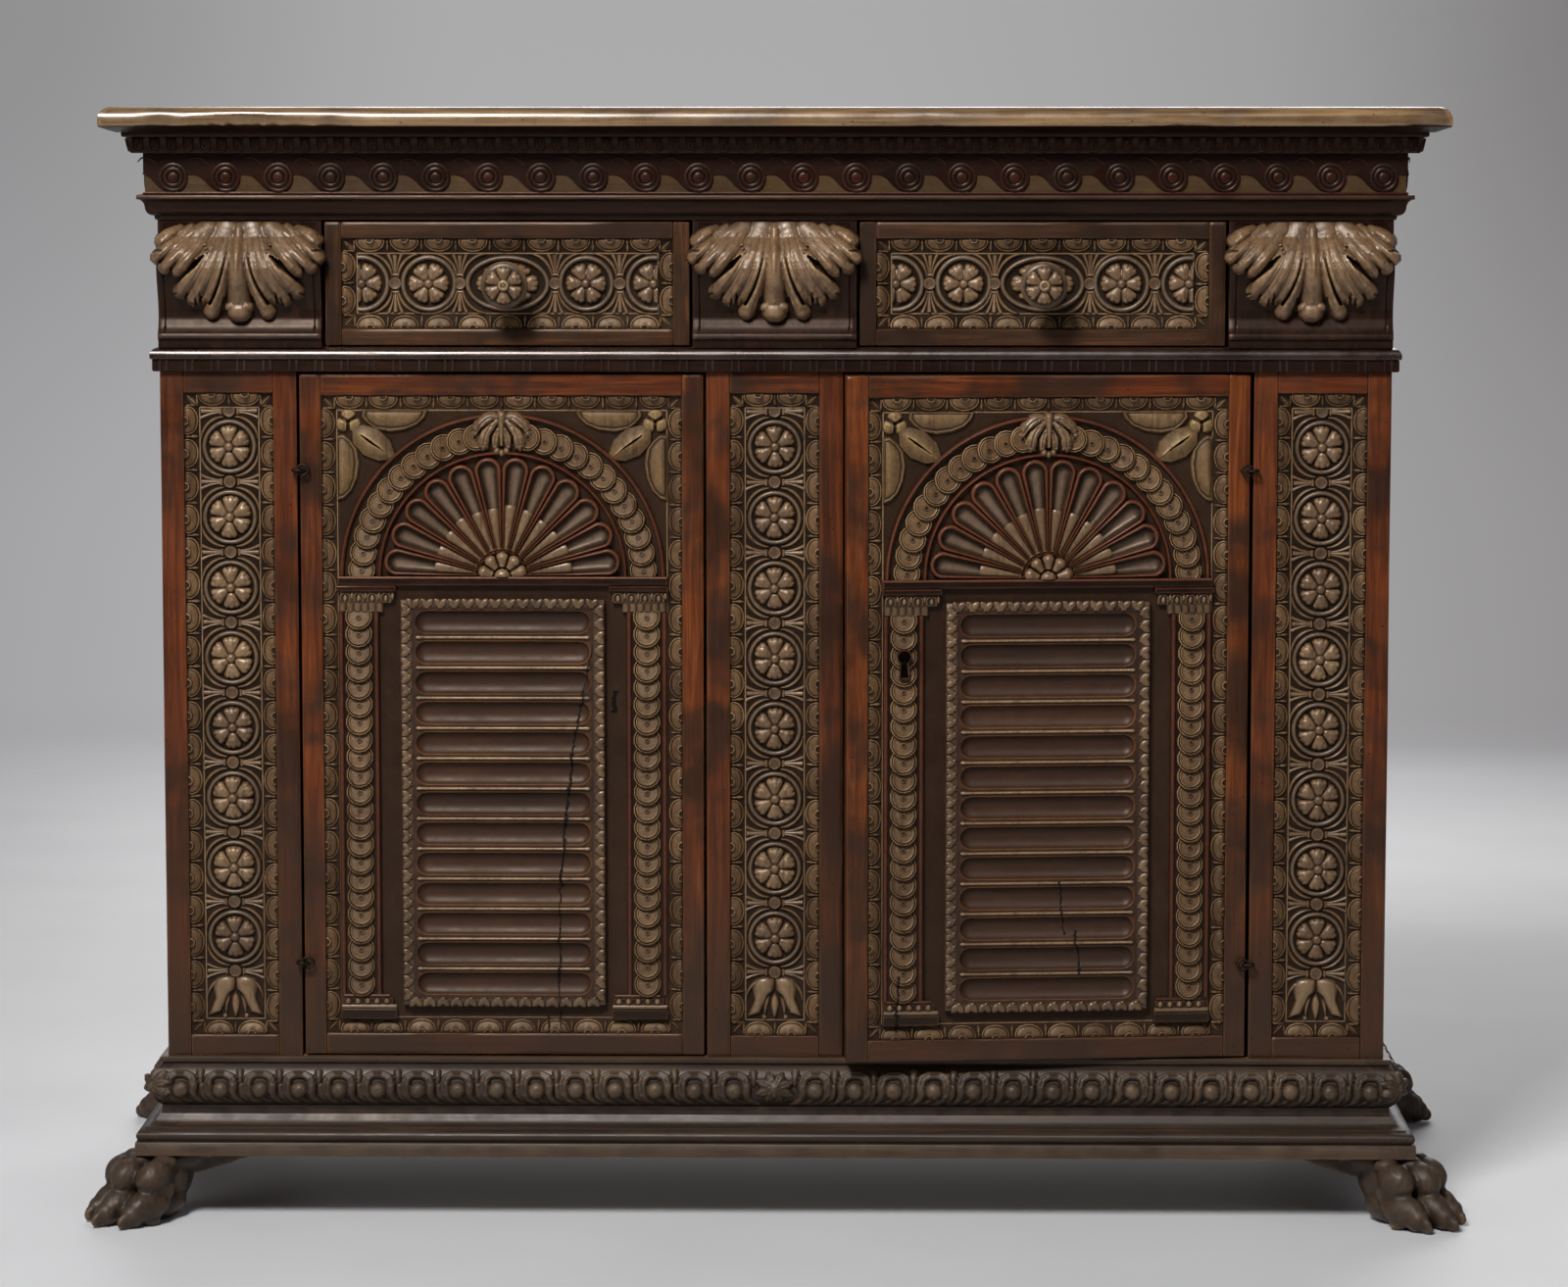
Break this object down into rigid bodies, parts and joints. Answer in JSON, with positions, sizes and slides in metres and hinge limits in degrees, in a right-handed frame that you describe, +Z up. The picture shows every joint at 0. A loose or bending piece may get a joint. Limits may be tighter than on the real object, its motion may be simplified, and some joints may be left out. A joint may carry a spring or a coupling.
{
  "type": "credenza",
  "caption": "Carved walnut sideboard with panelled doors under drawers, arched portals with fluted panels on the doors, moulded top and plinth, and lion-paw feet.",
  "frame": {"origin": "middle of the footprint, on the floor", "axes": "+Z up, +X to the right along the front, -Y out of the front"},
  "size_m": [1.3974, 0.6012, 1.085],
  "materials": {
    "walnut": "old wax over red-brown walnut",
    "dark_walnut": "dull, dark grey-brown walnut",
    "gilded_carving": "carved walnut with worn bronze gilding",
    "plain_wood": "unpolished softwood and walnut",
    "iron": "dark forged iron"
  },
  "bodies": {
    "carcass": {"back_boards": "plain_wood", "base_frame": "plain_wood", "center_console": "gilded_carving", "center_pilaster_frame": "walnut", "center_pilaster_panel": "gilded_carving", "corner_blocks": "plain_wood", "cupboard_floor": "plain_wood", "cyma_moulding": "walnut", "door_stops": "plain_wood", "drawer_divider": "plain_wood", "drawer_guides": "plain_wood", "drawer_kickers": "plain_wood", "dust_board": "plain_wood", "frieze_boards": "gilded_carving", "front_left_foot": "dark_walnut", "front_rails": "plain_wood", "front_right_foot": "dark_walnut", "left_console": "gilded_carving", "left_hinge_staples": "iron", "left_pilaster_frame": "walnut", "left_pilaster_panel": "gilded_carving", "left_side_frame": "walnut", "left_side_panel": "walnut", "plinth_moulding": "dark_walnut", "rear_left_foot": "dark_walnut", "rear_right_foot": "dark_walnut", "right_console": "gilded_carving", "right_hinge_staples": "iron", "right_pilaster_frame": "walnut", "right_pilaster_panel": "gilded_carving", "right_side_frame": "walnut", "right_side_panel": "walnut", "shelf": "plain_wood", "shelf_battens": "plain_wood", "string_moulding": "walnut", "tongue_moulding": "gilded_carving", "top_board": "walnut", "torus_moulding": "dark_walnut"},
    "left_door": {"left_door_flutes": "gilded_carving", "left_door_frame": "walnut", "left_door_panel": "gilded_carving", "left_door_portal": "gilded_carving", "left_hinge_eyes": "iron"},
    "right_door": {"right_door_flutes": "gilded_carving", "right_door_frame": "walnut", "right_door_panel": "gilded_carving", "right_door_portal": "gilded_carving", "right_hinge_eyes": "iron", "lock_case": "iron"},
    "lock_bolt": {"lock_bolt": "iron"},
    "left_drawer": {"left_drawer_bottom": "plain_wood", "left_drawer_box": "plain_wood", "left_drawer_frame": "walnut", "left_drawer_panel": "gilded_carving", "left_knob": "gilded_carving"},
    "right_drawer": {"right_drawer_bottom": "plain_wood", "right_drawer_box": "plain_wood", "right_drawer_frame": "walnut", "right_drawer_panel": "gilded_carving", "right_knob": "gilded_carving"}
  },
  "joints": [
    {"name": "left_door_hinge", "type": "hinge", "parent": "carcass", "child": "left_door", "pos_m": [-0.4612, -0.24086, 0.16], "axis": [0, 0, -1], "range_deg": [0, 110]},
    {"name": "right_door_hinge", "type": "hinge", "parent": "carcass", "child": "right_door", "pos_m": [0.4612, -0.24086, 0.16], "axis": [0, 0, 1], "range_deg": [-5.5, 105]},
    {"name": "lock_bolt_slide", "type": "slide", "parent": "right_door", "child": "lock_bolt", "axis": [-0.9954, -0.0958, 0], "range_m": [0, 0.01]},
    {"name": "left_drawer_slide", "type": "slide", "parent": "carcass", "child": "left_drawer", "axis": [0, -1, 0], "range_m": [0, 0.3]},
    {"name": "right_drawer_slide", "type": "slide", "parent": "carcass", "child": "right_drawer", "axis": [0, -1, 0], "range_m": [0, 0.3]}
  ]
}
